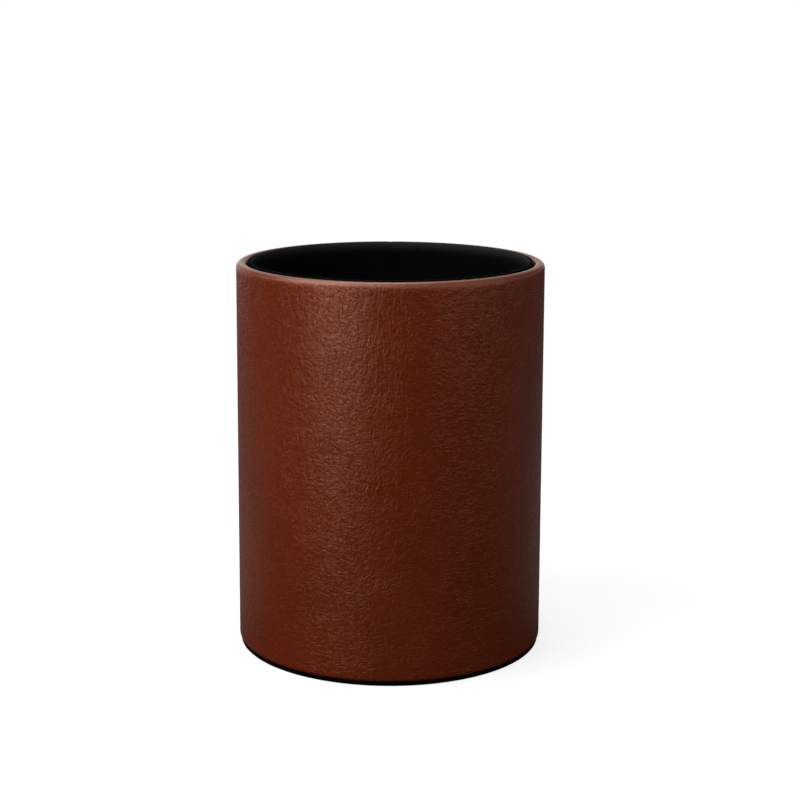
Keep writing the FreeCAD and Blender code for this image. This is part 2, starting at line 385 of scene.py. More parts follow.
# %% [markdown]
# ## Node helpers
#
# Relief is needed twice: as real bumps in the mesh, made by Geometry Nodes, and as finer bumps and
# colours in the material, made by shader nodes. Both kinds of tree have the same noise, cell and
# maths nodes, so one recipe fills either kind, and the crease in the mesh and the dark line in the
# material fall in the same place. The helpers below write such trees in short lines. The Mix node
# has sockets of the same name for numbers, vectors and colours, so its colour sockets are known by
# their places in its lists.

# %% Write node trees in short lines
MIX_SHARE, MIX_FIRST, MIX_SECOND, MIX_RESULT = 0, 6, 7, 2


def add(tree, kind, inputs=(), **settings):
    """A node of the tree. Inputs are given by name or number, as sockets to link or as values."""
    node = tree.nodes.new(kind)
    for name, value in settings.items():
        setattr(node, name, value)
    for key, value in dict(inputs).items():
        if isinstance(value, bpy.types.NodeSocket):
            tree.links.new(value, node.inputs[key])
        else:
            node.inputs[key].default_value = value
    return node


def calc(tree, operation, *values):
    """The result of one sum."""
    return add(tree, "ShaderNodeMath", enumerate(values), operation=operation).outputs[0]


def move(tree, operation, *values):
    """The result of one vector sum."""
    return add(tree, "ShaderNodeVectorMath", enumerate(values), operation=operation).outputs[0]


def stretch(tree, vector, factor):
    """A vector made longer by one number, which may change over the surface."""
    node = add(tree, "ShaderNodeVectorMath", {"Vector": vector, "Scale": factor}, operation="SCALE")
    return node.outputs["Vector"]


def ramp(tree, value, low, high, start=0.0, end=1.0):
    """A smooth step: start below low, end above high."""
    inputs = {"Value": value, "From Min": low, "From Max": high, "To Min": start, "To Max": end}
    step = add(tree, "ShaderNodeMapRange", inputs, interpolation_type="SMOOTHSTEP")
    return step.outputs["Result"]


def band(tree, value, middle, reach):
    """A ridge that is 1 where a value is at the middle and falls to 0 at the reach either side."""
    away = calc(tree, "ABSOLUTE", calc(tree, "SUBTRACT", value, middle))
    return ramp(tree, away, 0.0, reach, 1.0, 0.0)


def mix(tree, share, first, second):
    """A colour between two colours."""
    inputs = {MIX_SHARE: share, MIX_FIRST: first, MIX_SECOND: second}
    return add(tree, "ShaderNodeMix", inputs, data_type="RGBA").outputs[MIX_RESULT]


print("node helpers are ready")

# %% [markdown]
# ## Noise, patches and cells
#
# Three patterns make every finish on this cup. Cloudy noise gives colour drift and fine tooth. A
# mask of patches says where something is stronger and where it fades. Cells round scattered points
# give cushions, and the lines between them. Pushing a place about with noise before a pattern
# reads it bends the pattern, so that nothing on the hide is straight.

# %% Write the patterns
PER_MM = (1 / MM, 1 / MM, 1 / MM)
MIDDLE = (0.5, 0.5, 0.5)
CELL_BLUR = 0.35


def noise(tree, vector, scale, detail=2.0, roughness=0.5):
    """Cloudy noise, as a node with Fac and Color."""
    inputs = {"Vector": vector, "Scale": scale, "Detail": detail, "Roughness": roughness}
    return add(tree, "ShaderNodeTexNoise", inputs, noise_dimensions="3D")


def push(tree, place, scale):
    """A cloudy push, up to half a unit each way."""
    return move(tree, "SUBTRACT", noise(tree, place, scale).outputs["Color"], MIDDLE)


def warped(tree, place, scale, reach):
    """A place pushed about by cloudy noise, by up to half the reach each way."""
    return move(tree, "ADD", place, move(tree, "MULTIPLY", push(tree, place, scale), reach))


def patches(tree, place, scale, detail, low, high, least):
    """A cloudy mask: least where the noise is low, 1 where it is high."""
    return ramp(tree, noise(tree, place, scale, detail).outputs["Fac"], low, high, least, 1.0)


def cells(tree, vector, scale, feature):
    """A distance in a pattern of cells: from the cell's edge, or from its middle, smoothly."""
    inputs = {"Vector": vector, "Scale": scale, "Randomness": 1.0}
    if feature == "SMOOTH_F1":
        inputs["Smoothness"] = CELL_BLUR
    pattern = add(tree, "ShaderNodeTexVoronoi", inputs, feature=feature, voronoi_dimensions="2D")
    return pattern.outputs["Distance"]


print("patterns: noise, patches, cells")

# %% [markdown]
# ## The grain of the hide
#
# Milled leather is a field of small cushions with creases between them. The cushions are a bit over
# a millimetre across, no two alike, and in some places they run together and the hide is nearly
# smooth. Cells give the cushions, and the distance to a cell's edge gives the creases. A second,
# finer set of cells adds short creases in some patches. Last, a hide that is pulled round a tube
# shows long upright folds, a millimetre or two apart, which draw light out into streaks, and
# weaker level ones between them. They lie where stretched noise crosses its own middle.
#
# An image of real hide would repeat, and it would have a fixed size. This recipe has no seam and
# takes any size.

# %% Write the grain as one recipe for two kinds of tree
PULL = {"scale": 0.08, "reach": (8.0, 8.0, 0.0)}
WOBBLE_SCALE = 0.55
CUSHION_SHAPE = (0.9, 1.1, 0.0)
CUSHION_FALL = {"low": 0.05, "high": 0.8, "start": 1.0, "end": 0.0}
DEEP_PATCHES = {"scale": 0.2, "detail": 2.0, "low": 0.34, "high": 0.62, "least": 0.5}
BROKEN_PATCHES = {"scale": 0.7, "detail": 1.0, "low": 0.38, "high": 0.60, "least": 0.3}
FINE_PATCHES = {"scale": 0.4, "detail": 2.0, "low": 0.45, "high": 0.62, "least": 0.0}
CREASE_REACH, FINE_CREASE_REACH = 0.16, 0.25
FINE_SHIFT, PATCH_SHIFT = (31.0, 17.0, 0.0), (9.0, 4.0, 0.0)
FINE_PER_CUSHION, FINE_STRENGTH = 2.1, 0.45
FOLD_PULL = {"scale": 0.12, "reach": (5.0, 5.0, 0.0)}
UPRIGHT_SHAPE, LEVEL_SHAPE = (0.60, 0.11, 0.0), (0.15, 0.60, 0.0)
FOLD_MIDDLE, FOLD_REACH, LEVEL_STRENGTH = 0.5, 0.07, 0.7


def fill_creases(tree, place, bent, per_mm, deep):
    """The lines between the cushions, and short finer ones in some patches."""
    edge = cells(tree, bent, per_mm, "DISTANCE_TO_EDGE")
    depth = calc(tree, "MULTIPLY", deep, patches(tree, place, **BROKEN_PATCHES))
    wide = calc(tree, "MULTIPLY", ramp(tree, edge, 0.0, CREASE_REACH, 1.0, 0.0), depth)
    finer = calc(tree, "MULTIPLY", per_mm, FINE_PER_CUSHION)
    fine_edge = cells(tree, move(tree, "ADD", bent, FINE_SHIFT), finer, "DISTANCE_TO_EDGE")
    where = patches(tree, move(tree, "ADD", place, PATCH_SHIFT), **FINE_PATCHES)
    fine = calc(tree, "MULTIPLY", ramp(tree, fine_edge, 0.0, FINE_CREASE_REACH, 1.0, 0.0), where)
    return calc(tree, "MAXIMUM", wide, calc(tree, "MULTIPLY", fine, FINE_STRENGTH))


def fill_folds(tree, place):
    """Long upright folds, and weaker level ones between them."""
    pulled = warped(tree, place, **FOLD_PULL)
    fold = []
    for shape in (UPRIGHT_SHAPE, LEVEL_SHAPE):
        clouds = noise(tree, move(tree, "MULTIPLY", pulled, shape), 1.0).outputs["Fac"]
        fold.append(band(tree, clouds, FOLD_MIDDLE, FOLD_REACH))
    upright, level = fold
    return calc(tree, "MAXIMUM", upright, calc(tree, "MULTIPLY", level, LEVEL_STRENGTH))


def fill_grain(tree, flat, cushion, bend):
    """Adds the grain to a tree. Returns the cushions' swell, the creases and the folds, 0 to 1."""
    place = move(tree, "MULTIPLY", flat, PER_MM)
    bent = warped(tree, place, **PULL)
    bent = move(tree, "ADD", bent, stretch(tree, push(tree, place, WOBBLE_SCALE), bend))
    bent = move(tree, "MULTIPLY", bent, CUSHION_SHAPE)
    per_mm = calc(tree, "DIVIDE", 1.0, cushion)
    deep = patches(tree, place, **DEEP_PATCHES)
    swell = ramp(tree, cells(tree, bent, per_mm, "SMOOTH_F1"), **CUSHION_FALL)
    crease = fill_creases(tree, place, bent, per_mm, deep)
    return calc(tree, "MULTIPLY", swell, deep), crease, fill_folds(tree, place)


print("creases reach", CREASE_REACH, "of a cushion from its edge")

# %% [markdown]
# ## The grain as a node group
#
# A recipe becomes a group with named sockets, so that the leather's bumps and its colours are set
# in the same words. Blender keeps geometry groups and shader groups apart, so the recipe is
# written into one of each kind.

# %% Make the grain's two node groups
NUMBER, VECTOR = "NodeSocketFloat", "NodeSocketVector"
GEOMETRY, MATERIAL = "NodeSocketGeometry", "NodeSocketMaterial"
CUSHION, BEND = 1.25, 0.8


def new_group(name, kind, inputs, outputs):
    """An empty node group with named sockets, and its two end nodes."""
    group = bpy.data.node_groups.new(name, kind)
    for direction, sockets in (("INPUT", inputs), ("OUTPUT", outputs)):
        for label, (socket_kind, default) in sockets.items():
            socket = group.interface.new_socket(label, in_out=direction, socket_type=socket_kind)
            if default is not None:
                socket.default_value = default
    return group, group.nodes.new("NodeGroupInput"), group.nodes.new("NodeGroupOutput")


def pattern_group(name, kind, recipe, settings, results):
    """A recipe as a node group: Flat and the settings go in, and the results come out."""
    takes = {"Flat": (VECTOR, None), **{label: (NUMBER, value) for label, value in settings.items()}}
    gives = {label: (NUMBER, None) for label in results}
    group, start, end = new_group(name + " " + kind[0], kind, takes, gives)
    sockets = [start.outputs[label] for label in takes]
    for label, value in zip(gives, recipe(group, *sockets)):
        group.links.new(value, end.inputs[label])
    return group


GRAIN_SETTINGS = {"Cushion": CUSHION, "Bend": BEND}
GRAIN_RESULTS = ("Swell", "Crease", "Fold")
GRAIN_FOR_MESH, GRAIN_FOR_LOOKS = (
    pattern_group("hide grain", kind, fill_grain, GRAIN_SETTINGS, GRAIN_RESULTS)
    for kind in ("GeometryNodeTree", "ShaderNodeTree")
)
print("grain group:", len(GRAIN_FOR_LOOKS.nodes), "nodes")

# %% [markdown]
# ## Raising a pattern in a mesh
#
# The cushions are low, but a close look along the wall finds them standing up, so the mesh has them
# too. A Geometry Nodes tree reads each point's place on the flat sheet, asks the pattern how high
# it stands there, and sinks the point into the sheet by the rest. Sinking, and not lifting, keeps
# the cup inside its size. The result is kept as a plain mesh.


# %% Write the tree that raises a pattern
def stored(tree, name, data_type="FLOAT"):
    """A value that the mesh keeps at each point."""
    inputs = {"Name": name}
    node = add(tree, "GeometryNodeInputNamedAttribute", inputs, data_type=data_type)
    return node.outputs["Attribute"]


def relief_tree(name, pattern, settings):
    """Geometry Nodes that push points into a sheet by a pattern laid on the flat sheet."""
    takes = {
        "Geometry": (GEOMETRY, None),
        "Depth": (NUMBER, 0.0),
        "Dip": (NUMBER, 0.0),
        "Finish": (MATERIAL, None),
        **{label: (NUMBER, value) for label, value in settings.items()},
    }
    tree, start, end = new_group(name, "GeometryNodeTree", takes, {"Geometry": (GEOMETRY, None)})
    inputs = {"Flat": stored(tree, SHEET_MAP, "FLOAT_VECTOR")}
    inputs.update((label, start.outputs[label]) for label in settings)
    raising = add(tree, "GeometryNodeGroup", inputs, node_tree=pattern)
    sink = calc(tree, "SUBTRACT", raising.outputs["Swell"], 1.0)
    sink = calc(tree, "MULTIPLY", sink, start.outputs["Depth"])
    rounding = calc(tree, "MULTIPLY", stored(tree, DIP), start.outputs["Dip"])
    sink = calc(tree, "MULTIPLY", calc(tree, "SUBTRACT", sink, rounding), MM)
    sink = calc(tree, "MULTIPLY", sink, stored(tree, RELIEF))
    outward = add(tree, "GeometryNodeInputNormal").outputs["Normal"]
    places = {"Geometry": start.outputs["Geometry"], "Offset": stretch(tree, outward, sink)}
    moved = add(tree, "GeometryNodeSetPosition", places).outputs["Geometry"]
    real = add(tree, "GeometryNodeRealizeInstances", {"Geometry": moved}).outputs["Geometry"]
    finish = {"Geometry": real, "Material": start.outputs["Finish"]}
    dressed = add(tree, "GeometryNodeSetMaterial", finish)
    tree.links.new(dressed.outputs["Geometry"], end.inputs["Geometry"])
    return tree


GRAIN_RELIEF = relief_tree("raised grain", GRAIN_FOR_MESH, GRAIN_SETTINGS)
print("relief tree:", len(GRAIN_RELIEF.nodes), "nodes")


# %% Run the tree on a piece
def raised(piece, tree, **values):
    """Runs a tree on a piece and keeps the result as its plain mesh."""
    modifier = piece.modifiers.new("relief", "NODES")
    modifier.node_group = tree
    inputs = [item for item in tree.interface.items_tree if item.in_out == "INPUT"]
    identifiers = {item.name: item.identifier for item in inputs}
    for name, value in values.items():
        modifier[identifiers[name]] = value
    graph = bpy.context.evaluated_depsgraph_get()
    mesh = bpy.data.meshes.new_from_object(piece.evaluated_get(graph), depsgraph=graph)
    piece.modifiers.remove(modifier)
    piece.data = mesh
    mesh.name = piece.name
    return piece


def dress(mesh, tree, node, slot, **values):
    """Shows a mesh, raises its relief, and puts it in the place of a plain solid."""
    piece = raised(show(mesh), tree, **values)
    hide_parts(node)
    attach(piece, "root")
    return piece


print("inputs:", ", ".join(item.name for item in GRAIN_RELIEF.interface.items_tree))

# %% [markdown]
# ## Leather
#
# The body colour is a warm red brown that drifts a little from place to place. The creases are
# darker, with a little dye and mostly painted shade. Round the rim the leather is stretched over the
# edge of the board: its grain is pulled nearly flat, and its crest is painted paler, partly as wear
# from hands and pens and partly as a painted highlight. Just below the crest a line is pressed in,
# where the folder's bone tool went round. It is darkened with painted shade, and under it the
# leather swells out softly to the wall.
#
# The finish is thin and soft, so its gloss is broad, and it is duller still on the fold of the
# rim. Its reflections are warm too, because light that glances off a dyed hide has passed through
# some of the dye.

# %% Make the leather's colour
DARK_HIDE = (0.140, 0.0165, 0.0016, 1)
LIGHT_HIDE = (0.162, 0.0196, 0.0022, 1)
# Painted shade: the colour that the creases and the pressed line are darkened towards, with a little dye
# in the creases.
CREASE_DYE_AND_SHADE = (0.060, 0.0065, 0.0010, 1)
# The crest's paler colour: partly wear, partly a painted highlight.
RUBBED_AND_HIGHLIT_HIDE = (0.150, 0.078, 0.048, 1)
DRIFT_SCALE, DRIFT_DETAIL, DRIFT_RANGE = 0.05, 4.0, (0.3, 0.7)
DYE_AND_SHADE_IN_CREASES, SHADE_IN_LINE = 0.5, 0.95
LINE_BELOW_CREST, LINE_REACH = 0.55, 0.3
HIGHLIT_WEAR_FROM, HIGHLIT_WEAR_TO = 0.1, 0.35
HIGHLIT_WEAR_PATCHES = {"scale": 0.5, "detail": 3.0, "low": 0.25, "high": 0.6, "least": 0.6}


def below_crest(tree):
    """How many millimetres below the crest of the rim a point lies."""
    place = add(tree, "ShaderNodeTexCoord").outputs["Object"]
    height = add(tree, "ShaderNodeSeparateXYZ", {"Vector": place}).outputs["Z"]
    return calc(tree, "DIVIDE", calc(tree, "SUBTRACT", RIM_CREST * MM, height), MM)


def leather_colour(tree, place, grain, below):
    """The dyed hide, with painted shade in the creases and the pressed line, and a crest painted paler.
    """
    drift = noise(tree, place, DRIFT_SCALE, DRIFT_DETAIL).outputs["Fac"]
    body = mix(tree, ramp(tree, drift, *DRIFT_RANGE), DARK_HIDE, LIGHT_HIDE)
    # Painted shade in the creases and in the pressed line below the crest.
    dye_and_shade = calc(tree, "MULTIPLY", grain.outputs["Crease"], DYE_AND_SHADE_IN_CREASES)
    pressed = band(tree, below, LINE_BELOW_CREST, LINE_REACH)
    dye_and_shade = calc(tree, "MAXIMUM", dye_and_shade, calc(tree, "MULTIPLY", pressed, SHADE_IN_LINE))
    dyed_and_shaded = mix(tree, dye_and_shade, body, CREASE_DYE_AND_SHADE)
    # The crest is painted paler, partly as wear and partly as a painted highlight.
    crest = ramp(tree, below, HIGHLIT_WEAR_FROM, HIGHLIT_WEAR_TO, 1.0, 0.0)
    rubbed_and_highlit = calc(tree, "MULTIPLY", crest, patches(tree, place, **HIGHLIT_WEAR_PATCHES))
    return mix(tree, rubbed_and_highlit, dyed_and_shaded, RUBBED_AND_HIGHLIT_HIDE)


print(f"the crest is rubbed down to {HIGHLIT_WEAR_TO} mm")

# %% Make the leather's bumps
SWELL_HEIGHT, CREASE_DEPTH, FOLD_DEPTH, PORE_HEIGHT = 0.016, 0.040, 0.050, 0.010
PORE_SCALE = 4.0
FLAT_ABOVE, GRAINED_BELOW, GRAIN_LEFT = 0.5, 1.2, 0.15
LINE_DEPTH = 0.06
SHOULDER_FROM, SHOULDER_TO, SHOULDER_DEPTH = 0.6, 2.6, 0.10


def leather_height(tree, place, grain, below):
    """How high the hide stands, in millimetres."""
    pores = noise(tree, place, PORE_SCALE).outputs["Fac"]
    height = calc(tree, "MULTIPLY", grain.outputs["Swell"], SWELL_HEIGHT)
    height = calc(tree, "MULTIPLY_ADD", grain.outputs["Crease"], -CREASE_DEPTH, height)
    height = calc(tree, "MULTIPLY_ADD", grain.outputs["Fold"], -FOLD_DEPTH, height)
    height = calc(tree, "MULTIPLY_ADD", pores, PORE_HEIGHT, height)
    stretched = ramp(tree, below, FLAT_ABOVE, GRAINED_BELOW, GRAIN_LEFT, 1.0)
    height = calc(tree, "MULTIPLY", height, stretched)
    pressed = band(tree, below, LINE_BELOW_CREST, LINE_REACH)
    height = calc(tree, "MULTIPLY_ADD", pressed, -LINE_DEPTH, height)
    lean = ramp(tree, below, SHOULDER_FROM, SHOULDER_TO, 1.0, 0.0)
    lean = calc(tree, "MULTIPLY", lean, lean)
    return calc(tree, "MULTIPLY_ADD", lean, -SHOULDER_DEPTH, height)


print(f"cushions {SWELL_HEIGHT} mm, creases {CREASE_DEPTH} mm, pressed line {LINE_DEPTH} mm")

# %% Put the leather's finish together
CUSHION_ROUGHNESS, CREASE_ROUGHNESS, RIM_ROUGHNESS = 0.27, 0.50, 0.38
SCUFFED_FROM, SCUFFED_TO = 1.0, 3.0
HIDE_SPECULAR = 1.0
HIDE_SPECULAR_TINT = (1.0, 0.56, 0.42, 1)


def new_material(name):
    """A material with one Principled shader."""
    material = bpy.data.materials.new(name)
    material.use_nodes = True
    tree = material.node_tree
    return material, tree, tree.nodes["Principled BSDF"]


def bumped(tree, shader, height):
    """Gives a shader its small bumps, from a height in millimetres."""
    bump = add(tree, "ShaderNodeBump", {"Height": height, "Strength": 1.0, "Distance": MM})
    tree.links.new(bump.outputs["Normal"], shader.inputs["Normal"])


def leather_finish():
    """Grained brown leather with a soft gloss."""
    material, tree, shader = new_material("brown_leather")
    flat = add(tree, "ShaderNodeUVMap", uv_map=SHEET_MAP).outputs["UV"]
    place = move(tree, "MULTIPLY", flat, PER_MM)
    inputs = {"Flat": flat, **GRAIN_SETTINGS}
    grain = add(tree, "ShaderNodeGroup", inputs, node_tree=GRAIN_FOR_LOOKS)
    below = below_crest(tree)
    tree.links.new(leather_colour(tree, place, grain, below), shader.inputs["Base Color"])
    crease = grain.outputs["Crease"]
    dull = ramp(tree, crease, 0.0, 1.0, CUSHION_ROUGHNESS, CREASE_ROUGHNESS)
    scuffed = ramp(tree, below, SCUFFED_FROM, SCUFFED_TO, RIM_ROUGHNESS, 0.0)
    tree.links.new(calc(tree, "MAXIMUM", dull, scuffed), shader.inputs["Roughness"])
    shader.inputs["Specular IOR Level"].default_value = HIDE_SPECULAR
    shader.inputs["Specular Tint"].default_value = HIDE_SPECULAR_TINT
    bumped(tree, shader, leather_height(tree, place, grain, below))
    return material


BROWN_LEATHER = leather_finish()
print("leather:", len(BROWN_LEATHER.node_tree.nodes), "nodes")

# %% [markdown]
# ## The leather wrap
#
# The sheet goes round once and is butted at the back, edge to edge. So its points run from one side
# of the seam right round to the other, and lie closer together near the seam, where the cut ends
# dip. The gap between the ends is the thickness of the knife's cut.

# %% Wrap the leather
WALL_STEP, ROUND_STEP = 0.62, 0.56
UNDER_STEP, INSIDE_STEP = 2.0, 3.0
GLUED_STEPS = {"under": 3.0, "wall": 12.0, "rim": 1.0, "inside": 5.0}
LEATHER_GAP = 0.08
NEAR_SEAM = (0.0, 0.12, 0.3, 0.6)
AT_THE_BACK, AT_THE_FRONT = 0.0, math.pi
CUSHION_RELIEF, CUT_END_DIP = 0.02, 0.16


def round_from_seam(radius, seam_angle, gap, step):
    """Angles from one side of a seam right round to the other, closer together at the seam."""
    near = gap / 2 + np.array(NEAR_SEAM)
    girth = 2 * math.pi * radius
    count = round((girth - 2 * near[-1]) / step)
    arc = np.linspace(near[-1], girth - near[-1], count + 1)
    full = np.concatenate([near[:-1], arc, (girth - near[:-1])[::-1]])
    return seam_angle + full / radius


def leather_wrap():
    """The leather sheet: under the cup, up the outside, over the rim and down the inside."""
    inner_rim = OUTER_RADIUS - 2 * LEATHER - TUBE_WALL
    under = OUTER_RADIUS - FOOT_TURN_UNDER
    turned_to = RIM_CREST - RIM_TURN_IN
    board, board_rim = OUTER_RADIUS - LEATHER, RIM_CREST - LEATHER
    rim_fold, foot_fold = TUBE_RIM_EDGE + LEATHER, TUBE_FOOT_EDGE + LEATHER
    face = section(
        (under, LEATHER_BOTTOM, 0, UNDER_STEP),
        (OUTER_RADIUS, LEATHER_BOTTOM, foot_fold, WALL_STEP),
        (OUTER_RADIUS, RIM_CREST, rim_fold, WALL_STEP),
        (inner_rim, RIM_CREST, rim_fold, INSIDE_STEP),
        (inner_rim, turned_to, 0, 0),
    )
    back = section(
        (under, LEATHER_BOTTOM + LEATHER, 0, GLUED_STEPS["under"]),
        (board, LEATHER_BOTTOM + LEATHER, TUBE_FOOT_EDGE, GLUED_STEPS["wall"]),
        (board, board_rim, TUBE_RIM_EDGE, GLUED_STEPS["rim"]),
        (inner_rim + LEATHER, board_rim, TUBE_RIM_EDGE, GLUED_STEPS["inside"]),
        (inner_rim + LEATHER, turned_to, 0, 0),
    )
    angles = round_from_seam(OUTER_RADIUS, AT_THE_BACK, LEATHER_GAP, ROUND_STEP)
    return wrapped_sheet("leather_skin", face, back, angles)


dress(
    leather_wrap(), GRAIN_RELIEF, "leather_wrap", "brown_leather",
    Depth=CUSHION_RELIEF, Dip=CUT_END_DIP, Finish=BROWN_LEATHER, **GRAIN_SETTINGS,
)

# %% [markdown]
# ## Black cloth
#
# The lining is a brushed cloth: a woven ground whose face has been raised into a short nap. The nap
# hides the weave. What shows is a matt black with slightly paler streaks, where the hairs lie one
# way or the other, and a faint bloom where the cloth is seen along its face. The nap leans down the
# well, so the streaks are longer than they are wide. The mouth of the well is painted paler, as
# painted light where light reaches the top of the wall, and the black deepens a few millimetres
# down. Tufts are raised in the mesh, and the hairs are too fine for that, so they are left to the
# material.

# %% Write the nap as one recipe
STREAK = 4.0
LEAN = {"scale": 0.3, "reach": (2.0, 2.0, 0.0)}
TUFT_SHAPE, TUFT_DETAIL, TUFT_ROUGHNESS = (1.6, 0.7, 0.0), 3.0, 0.6
PRESSED_SCALE = 0.09
TUFT_SHARE, PRESSED_SHARE, NAP_RANGE = 0.7, 0.3, (0.3, 0.7)
HAIRS_PER_MM, HAIR_ROUGHNESS = 9.0, 0.7


def fill_nap(tree, flat, streak):
    """Adds the nap to a tree. Returns how high it stands and the fine hairs, both 0 to 1."""
    place = move(tree, "MULTIPLY", flat, PER_MM)
    leaning = warped(tree, place, **LEAN)
    tufts = move(tree, "MULTIPLY", leaning, TUFT_SHAPE)
    tuft = noise(tree, tufts, 1.0, TUFT_DETAIL, TUFT_ROUGHNESS).outputs["Fac"]
    pressed = noise(tree, place, PRESSED_SCALE).outputs["Fac"]
    tuft_part = calc(tree, "MULTIPLY", tuft, TUFT_SHARE)
    swell = calc(tree, "ADD", tuft_part, calc(tree, "MULTIPLY", pressed, PRESSED_SHARE))
    sizes = {"X": HAIRS_PER_MM, "Y": calc(tree, "DIVIDE", HAIRS_PER_MM, streak)}
    hair_shape = add(tree, "ShaderNodeCombineXYZ", sizes).outputs["Vector"]
    hair_place = move(tree, "MULTIPLY", leaning, hair_shape)
    hairs = noise(tree, hair_place, 1.0, roughness=HAIR_ROUGHNESS).outputs["Fac"]
    return ramp(tree, swell, *NAP_RANGE), hairs


NAP_SETTINGS = {"Streak": STREAK}
NAP_FOR_MESH, NAP_FOR_LOOKS = (
    pattern_group("nap", kind, fill_nap, NAP_SETTINGS, ("Swell", "Hairs"))
    for kind in ("GeometryNodeTree", "ShaderNodeTree")
)
NAP_RELIEF = relief_tree("raised nap", NAP_FOR_MESH, NAP_SETTINGS)
print("nap group:", len(NAP_FOR_LOOKS.nodes), "nodes")

# %% Make the cloth's finish
PRESSED_NAP = (0.0012, 0.0012, 0.0014, 1)
RAISED_NAP = (0.0042, 0.0042, 0.0047, 1)
# Painted light: the cloth is paler at the mouth of the well and darkens a few millimetres down.
LIT_MOUTH_NAP = (0.025, 0.025, 0.028, 1)
LIT_MOUTH_DEPTH, LIT_MOUTH_FADE = 6.0, 5.0
LIT_MOUTH_WITHIN, UNLIT_BEYOND = WELL_RADIUS + 0.12, WELL_RADIUS + 0.3
LEVEL_PER_MM = (1 / MM, 1 / MM, 0.0)
BLOOM = (0.20, 0.20, 0.23, 1)
BLOOM_WEIGHT, BLOOM_SPREAD = 0.008, 0.45
SMOOTH_HAIRS, ROUGH_HAIRS, HAIR_RANGE = 0.82, 0.98, (0.2, 0.8)
CLOTH_SPECULAR = 0.005
NAP_HEIGHT = 0.064


def lit_mouth_mask(tree):
    """Painted light at the mouth of the well: 1 at the top, fading to 0 down its wall."""
    depth = calc(tree, "ADD", below_crest(tree), LINING_TOP - RIM_CREST)
    fade = calc(tree, "POWER", ramp(tree, depth, 0.0, LIT_MOUTH_DEPTH, 1.0, 0.0), LIT_MOUTH_FADE)
    place = add(tree, "ShaderNodeTexCoord").outputs["Object"]
    level = {"Vector": move(tree, "MULTIPLY", place, LEVEL_PER_MM)}
    radius = add(tree, "ShaderNodeVectorMath", level, operation="LENGTH").outputs["Value"]
    return calc(tree, "MULTIPLY", fade, ramp(tree, radius, LIT_MOUTH_WITHIN, UNLIT_BEYOND, 1.0, 0.0))


def cloth_finish():
    """Black brushed cloth, with painted light at the mouth of the well."""
    material, tree, shader = new_material("black_cloth")
    flat = add(tree, "ShaderNodeUVMap", uv_map=SHEET_MAP).outputs["UV"]
    inputs = {"Flat": flat, **NAP_SETTINGS}
    nap = add(tree, "ShaderNodeGroup", inputs, node_tree=NAP_FOR_LOOKS)
    both = calc(tree, "ADD", nap.outputs["Swell"], nap.outputs["Hairs"])
    stand = calc(tree, "DIVIDE", both, 2.0)
    nap_colour = mix(tree, stand, PRESSED_NAP, RAISED_NAP)
    # Painted light: the mouth of the well is made paler.
    with_lit_mouth = mix(tree, lit_mouth_mask(tree), nap_colour, LIT_MOUTH_NAP)
    tree.links.new(with_lit_mouth, shader.inputs["Base Color"])
    dull = ramp(tree, nap.outputs["Hairs"], *HAIR_RANGE, ROUGH_HAIRS, SMOOTH_HAIRS)
    tree.links.new(dull, shader.inputs["Roughness"])
    shader.inputs["Specular IOR Level"].default_value = CLOTH_SPECULAR
    shader.inputs["Sheen Weight"].default_value = BLOOM_WEIGHT
    shader.inputs["Sheen Roughness"].default_value = BLOOM_SPREAD
    shader.inputs["Sheen Tint"].default_value = BLOOM
    bumped(tree, shader, calc(tree, "MULTIPLY", stand, NAP_HEIGHT))
    return material


BLACK_CLOTH = cloth_finish()
print("cloth:", len(BLACK_CLOTH.node_tree.nodes), "nodes")

# %% [markdown]
# ## The lining
#
# A sleeve of thin card is covered with cloth on its inside, and the cloth is folded over its top
# and glued down behind. The sleeve then slides into the cup. Its seam is put where it is seen
# least, so it lies at the front wall, out of sight from the front.

# %% Line the well
CLOTH_FOLD = 0.9 * CLOTH
CLOTH_GAP, CLOTH_STEP = 0.05, 0.7
FOLD_STEP, SLEEVE_STEP = 0.3, 2.0
SLEEVE_BACK_STEPS = {"inside": 12.0, "top": 1.0, "outside": 4.0}
LINING_RELIEF, CLOTH_END_DIP = 0.06, 0.08


def lining_cloth():
    """The cloth of the sleeve: up the inside, over the top and a little way down behind."""
    turned_to = LINING_TOP - CLOTH - LINING_TURN_OVER
    card_in, card_out, card_top = WELL_RADIUS + CLOTH, SLEEVE_RADIUS - CLOTH, LINING_TOP - CLOTH
    face = section(
        (WELL_RADIUS, LINING_BOTTOM, 0, CLOTH_STEP),
        (WELL_RADIUS, LINING_TOP, CLOTH_FOLD, FOLD_STEP),
        (SLEEVE_RADIUS, LINING_TOP, CLOTH_FOLD, SLEEVE_STEP),
        (SLEEVE_RADIUS, turned_to, 0, 0),
    )
    back = section(
        (card_in, LINING_BOTTOM, 0, SLEEVE_BACK_STEPS["inside"]),
        (card_in, card_top, 0, SLEEVE_BACK_STEPS["top"]),
        (card_out, card_top, 0, SLEEVE_BACK_STEPS["outside"]),
        (card_out, turned_to, 0, 0),
    )
    angles = round_from_seam(WELL_RADIUS, AT_THE_FRONT, CLOTH_GAP, CLOTH_STEP)
    return wrapped_sheet("lining_nap", face, back, angles)


dress(
    lining_cloth(), NAP_RELIEF, "lining_cloth", "black_cloth",
    Depth=LINING_RELIEF, Dip=CLOTH_END_DIP, Finish=BLACK_CLOTH, **NAP_SETTINGS,
)

# %% [markdown]
# ## The floor of the well and the foot
#
# Two discs of card wear the same cloth. The floor shows its cloth upward, and the foot downward,
# with the cloth drawn round its edge, which is the thin black line that the cup stands on.

# %% Cover the floor and the foot
FINE_RING, COARSE_RING = 0.7, 3.0
FLOOR_TURN_UNDER, FOOT_TURN_OVER = 6.0, 7.0
FLOOR_RELIEF, FOOT_RELIEF = 0.05, 0.03


